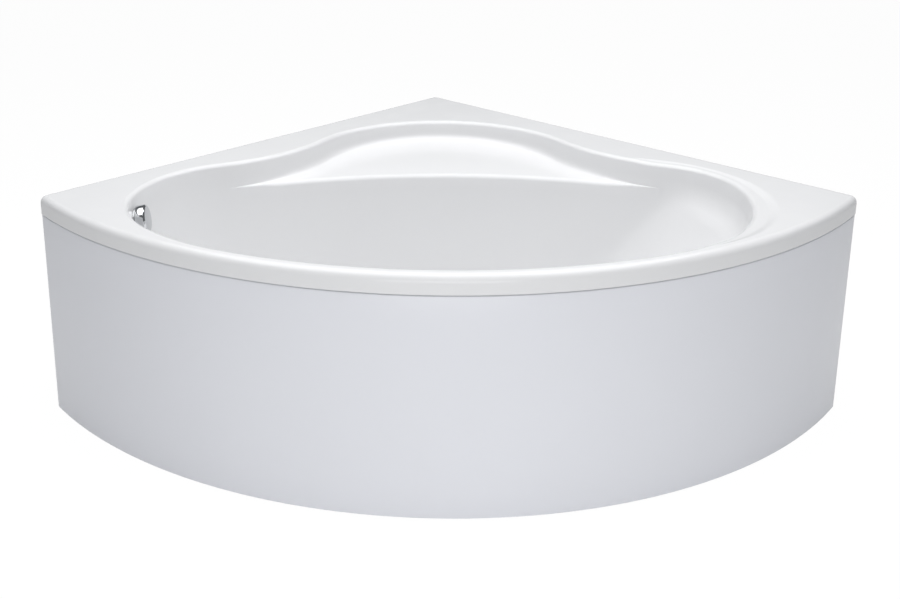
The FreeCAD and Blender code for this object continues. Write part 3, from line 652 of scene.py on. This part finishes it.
# the wall's lean there, so that the knob stands square on it
fall = (wallInset(tub["deck"] - tub["seatDrop"]) - wallStart) / (wallStartZ - seatZ(overflowSide.y))
overflowAxis = Vector((1, 0, fall)).normalized()
overflowX = overflowSide.x + wallStart + (wallStartZ - overflowHeight) * fall - tub["shoulder"]["left"]
overflowPoint = Vector((overflowX, overflowSide.y, overflowHeight))


def cutHole(piece, radius, centre, axis):
    deselectAll()
    bpy.ops.mesh.primitive_cylinder_add(vertices=openings["corners"], radius=radius,
                                        depth=openings["cutDepth"], location=centre)
    cutter = bpy.context.object
    cutter.rotation_mode = "QUATERNION"
    cutter.rotation_quaternion = axis.to_track_quat("Z", "Y")
    bpy.context.view_layer.update()
    applyModifier(piece, "BOOLEAN", object=cutter, operation="DIFFERENCE", solver="EXACT")
    bpy.data.objects.remove(cutter)


def tubShell():
    loops = list(zip(*[section(k) for k in range(len(bayLoop))]))
    piece = sweepRings("tubShell", loops)
    bpy.ops.mesh.select_all(action="SELECT")
    bpy.ops.mesh.remove_doubles(threshold=weldGap)
    bpy.ops.object.mode_set(mode="OBJECT")
    rim = sweepRings("rim", rimLoops())
    makeActive(piece)
    rim.select_set(True)
    bpy.ops.object.join()
    bpy.ops.object.mode_set(mode="EDIT")
    bpy.ops.mesh.select_mode(type="EDGE")
    bpy.ops.mesh.select_all(action="DESELECT")
    mesh = bmesh.from_edit_mesh(piece.data)
    deck = tub["deck"]
    for e in mesh.edges:  # the open edges at deck height: the rim's and the opening's
        e.select = e.is_boundary and all(abs(v.co.z - deck) < fineWeld for v in e.verts)
    bmesh.update_edit_mesh(piece.data)
    bpy.ops.mesh.fill(use_beauty=True)
    finishEdit(piece)
    turnUp(piece, (*tub["deckPlace"], deck), (0, 0, 1))
    applyModifier(piece, "SOLIDIFY", thickness=tub["sheet"], offset=-1.0)
    cutHole(piece, openings["waste"], wastePoint, Vector((0, 0, 1)))
    cutHole(piece, openings["overflow"], overflowPoint, overflowAxis)
    smooth(piece, 40.0)
    paint(piece, "acrylic")
    return settle(piece, "tub", "acrylic", "tub_shell")


tubShell()
print("tub shell made")

# front panel, bowed as the rim is
panel = {"set": 0.0015, "sheet": 0.004, "top": 0.556, "bottom": 0.003, "return": 0.018, "wrap": 0.014,
         "edge": 0.003, "rows": 8}


def panelLine(inset):
    # from behind the left corner round the bow to behind the right corner
    split = backY - cornerX - corner * math.sqrt(2) + panel["wrap"]
    small = corner - inset
    left = cornerArc(cornerLeft, small, wallLeft, mirrored(frontRight))
    right = cornerArc(cornerRight, small, frontRight, wallRight)
    edges = (left[0], mirrored(wallLeft)), (right[-1], mirrored(wallRight))
    behind = [p + d * ((split - p.y) / d.y) for p, d in edges]
    return [behind[0]] + left + frontArc(inset) + right + [behind[1]]


def frontPanel():
    face, back = panel["set"], panel["set"] + panel["return"]
    path = [Vector((back, panel["top"], 0))]
    upper = Vector((face, panel["top"], 0))
    lower = Vector((face, panel["bottom"], 0))
    path += rounded(path[0], upper, lower, panel["edge"], 5)
    path += [upper.lerp(lower, t / panel["rows"]) for t in range(1, panel["rows"])]
    path += rounded(upper, lower, Vector((back, panel["bottom"], 0)), panel["edge"], 5)
    path.append(Vector((back, panel["bottom"], 0)))
    loops = [[Vector((q.x, q.y, step.y)) for q in panelLine(step.x)] for step in path]
    piece = finishEdit(sweepRings("frontPanel", loops, closed=False))
    turnUp(piece, (0.0, frontCentre.y - tub["frontRadius"], panel["top"] / 2), (0, -1, 0))
    applyModifier(piece, "SOLIDIFY", thickness=panel["sheet"], offset=-1.0)
    smooth(piece, 40.0)
    paint(piece, "panel_acrylic")
    return settle(piece, "front_panel", "panel_acrylic", "front_panel")


frontPanel()
print("front panel made")

# overflow knob: a cap on a hub, turned about the spindle
knob = {"radius": 0.0375, "gap": 0.007, "depth": 0.026, "wall": 0.003, "bevel": 0.0045, "crown": 0.0004,
        "hub": 0.009, "bore": 0.00605, "hubFoot": 0.0072, "faceRound": 0.0012, "edgeRound": 0.0008,
        "insideRound": 0.002, "rootRound": 0.001, "hubRound": 0.0005, "boreRound": 0.0003}


def lathe(name, profile, base, axis, count=96, least=0.000001):
    # rings of the profile's (radius, height) about an axis, closed where the radius is nothing
    side = Vector((0, 1, 0))
    other = axis.cross(side)
    turns = [2 * math.pi * k / count for k in range(count)]
    loops = [[base + axis * h + (side * math.cos(a) + other * math.sin(a)) * max(r, least) for a in turns]
             for r, h in profile]
    return finishEdit(sweepRings(name, loops), fineWeld)


def roundedProfile(corners):
    # (radius, height, rounding) corners to a finer line
    points = [Vector((r, h, 0)) for r, h, _ in corners]
    line = [points[0]]
    for k in range(1, len(points) - 1):
        line += rounded(points[k - 1], points[k], points[k + 1], corners[k][2], 4)
    return [(p.x, p.y) for p in line + [points[-1]]]


def overflowKnob():
    r, back, bevel, edge = knob["radius"], knob["gap"], knob["bevel"], knob["edgeRound"]
    front, wall = back + knob["depth"], knob["wall"]
    hub, bore, hubFoot, boreRound = knob["hub"], knob["bore"], knob["hubFoot"], knob["boreRound"]
    corners = [(0, front - knob["crown"], 0), (r - bevel, front, knob["faceRound"]),
               (r, front - bevel, edge), (r, back, edge), (r - wall, back, edge),
               (r - wall, front - wall, knob["insideRound"]), (hub, front - wall, knob["rootRound"]),
               (hub, hubFoot, knob["hubRound"]), (bore, hubFoot, boreRound),
               (bore, front - 2 * wall, boreRound), (0, front - 2 * wall, 0)]
    piece = lathe("overflowKnob", roundedProfile(corners), overflowPoint, overflowAxis)
    turnUp(piece, overflowPoint + overflowAxis * front, overflowAxis)
    smooth(piece, 50.0)
    paint(piece, "chrome")
    return settle(piece, "overflow_knob", "chrome", "overflow_knob")


overflowKnob()
print("overflow knob made")

# every other piece: the frame's own form with its edges broken
edgeBreak = {"timber": 0.0015, "encapsulated_board": 0.001, "frame_paint": 0.0, "zinc_steel": 0.0004,
             "rubber": 0.0006, "black_plastic": 0.0006, "white_plastic": 0.0005, "chrome": 0.0004,
             "foot_plastic": 0.0008}
edgeWork = {"flat": 0.3, "sharp": 40.0, "smooth": 35.0, "segments": 2}  # degrees; faces across an edge


def finishedCopy(name):
    slot = slotOf[name]
    piece = nodes[name].copy()
    piece.data = nodes[name].data.copy()
    bpy.context.scene.collection.objects.link(piece)
    piece.parent = None
    piece.name = name.replace("_", " ").title().replace(" ", "") + "Finished"
    for key in list(piece.keys()):
        if key.startswith("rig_"):
            del piece[key]
    makeActive(piece)
    bpy.ops.object.mode_set(mode="EDIT")
    bpy.ops.mesh.select_all(action="SELECT")
    bpy.ops.mesh.remove_doubles(threshold=fineWeld)
    bpy.ops.mesh.dissolve_limited(angle_limit=math.radians(edgeWork["flat"]))
    bpy.ops.mesh.normals_make_consistent(inside=False)
    bpy.ops.object.mode_set(mode="OBJECT")
    if edgeBreak[slot]:
        applyModifier(piece, "BEVEL", width=edgeBreak[slot], segments=edgeWork["segments"],
                      limit_method="ANGLE", angle_limit=math.radians(edgeWork["sharp"]),
                      use_clamp_overlap=True)
    smooth(piece, edgeWork["smooth"])
    paint(piece, slot)
    return settle(piece, nodes[name]["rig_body"], slot, name)


for nodeName in nodes:
    if nodeName not in ("tub_shell", "front_panel", "overflow_knob"):
        finishedCopy(nodeName)
print("other pieces finished")

# camera, lights and background
view = {"place": (-0.1386, -3.1783, 1.6009), "pitch": -16.062, "lens": 47.725, "sensor": 36.0,
        "shiftX": 0.0612, "shiftY": -0.18, "clip": (0.05, 100.0)}
lamps = {  # place, aim, width and height in metres, watts
    "overhead": ((0.0, -0.3, 3.2), (0.0, -0.15, 0.5), (4.4, 3.6), 134.0),
    "front": ((0.0, -2.9, 0.3), (0.0, 0.0, 0.25), (1.6, 0.56), 13.5),
    "camera side": ((0.2, -4.5, 2.2), (0.0, 0.0, 0.3), (1.6, 1.2), 6.0),
}
studio = {"fill": 0.17, "fillColor": (0.93, 0.96, 1.0, 1.0), "white": (1.0, 1.0, 1.0, 1.0),
          "floorSize": 24.0, "floorDrop": 0.0005, "floorTone": grey(0.9), "floorRoughness": 0.9,
          "glow": 1.02, "glowSeen": 0.7, "glowAlways": 0.25}  # the glow's shares, more where seen


def makeCamera():
    made = bpy.data.objects.new("camera", bpy.data.cameras.new("camera"))
    bpy.context.scene.collection.objects.link(made)
    bpy.context.scene.camera = made
    made.location = view["place"]
    made.rotation_mode = "QUATERNION"
    made.rotation_quaternion = Quaternion((1, 0, 0), math.radians(90 + view["pitch"]))
    made.data.lens = view["lens"]
    made.data.sensor_width = view["sensor"]
    made.data.shift_x, made.data.shift_y = view["shiftX"], view["shiftY"]
    made.data.clip_start, made.data.clip_end = view["clip"]


def areaLight(name, place, target, size, power):
    lamp = bpy.data.lights.new(name, "AREA")
    lamp.shape, lamp.size, lamp.size_y = "RECTANGLE", size[0], size[1]
    lamp.energy = power
    made = bpy.data.objects.new(name, lamp)
    bpy.context.scene.collection.objects.link(made)
    made.location = place
    made.rotation_mode = "QUATERNION"
    made.rotation_quaternion = (Vector(target) - Vector(place)).to_track_quat("-Z", "Y")


def whiteWorld():
    # a pale fill for the object, plain white where the camera sees past it
    world = bpy.data.worlds.new("studio")
    bpy.context.scene.world = world
    world.use_nodes = True
    tree = world.node_tree
    tree.nodes.clear()
    out = tree.nodes.new("ShaderNodeOutputWorld")
    ray = tree.nodes.new("ShaderNodeLightPath")
    shows = tree.nodes.new("ShaderNodeMath")
    shows.operation = "MAXIMUM"
    tree.links.new(ray.outputs["Is Camera Ray"], shows.inputs[0])
    tree.links.new(ray.outputs["Is Transmission Ray"], shows.inputs[1])
    mix = tree.nodes.new("ShaderNodeMixShader")
    fill, white = tree.nodes.new("ShaderNodeBackground"), tree.nodes.new("ShaderNodeBackground")
    fill.inputs[0].default_value, fill.inputs[1].default_value = studio["fillColor"], studio["fill"]
    white.inputs[0].default_value, white.inputs[1].default_value = studio["white"], 1.0
    tree.links.new(shows.outputs[0], mix.inputs[0])
    tree.links.new(fill.outputs[0], mix.inputs[1])
    tree.links.new(white.outputs[0], mix.inputs[2])
    tree.links.new(mix.outputs[0], out.inputs[0])


def studioFloor():
    deselectAll()
    bpy.ops.mesh.primitive_plane_add(size=studio["floorSize"], location=(0, 0, -studio["floorDrop"]))
    floor = bpy.context.object
    floor.name = "floor"
    material = bpy.data.materials.new("paleFloor")
    material.use_nodes = True
    tree = material.node_tree
    shader = tree.nodes["Principled BSDF"]
    shader.inputs["Base Color"].default_value = studio["floorTone"]
    shader.inputs["Roughness"].default_value = studio["floorRoughness"]
    out = tree.nodes["Material Output"]
    ray = tree.nodes.new("ShaderNodeLightPath")
    share = tree.nodes.new("ShaderNodeMath")
    share.operation = "MULTIPLY_ADD"
    share.inputs[1].default_value = studio["glowSeen"]
    share.inputs[2].default_value = studio["glowAlways"]
    glow = tree.nodes.new("ShaderNodeEmission")
    glow.inputs["Strength"].default_value = studio["glow"]
    mix = tree.nodes.new("ShaderNodeMixShader")
    tree.links.new(ray.outputs["Is Camera Ray"], share.inputs[0])
    tree.links.new(share.outputs[0], mix.inputs[0])
    tree.links.new(shader.outputs[0], mix.inputs[1])
    tree.links.new(glow.outputs[0], mix.inputs[2])
    tree.links.new(mix.outputs[0], out.inputs[0])
    floor.data.materials.append(material)


makeCamera()
whiteWorld()
studioFloor()
for lampName, lamp in lamps.items():
    areaLight(lampName, *lamp)
bpy.context.scene.view_settings.view_transform = "Standard"
print("studio made")
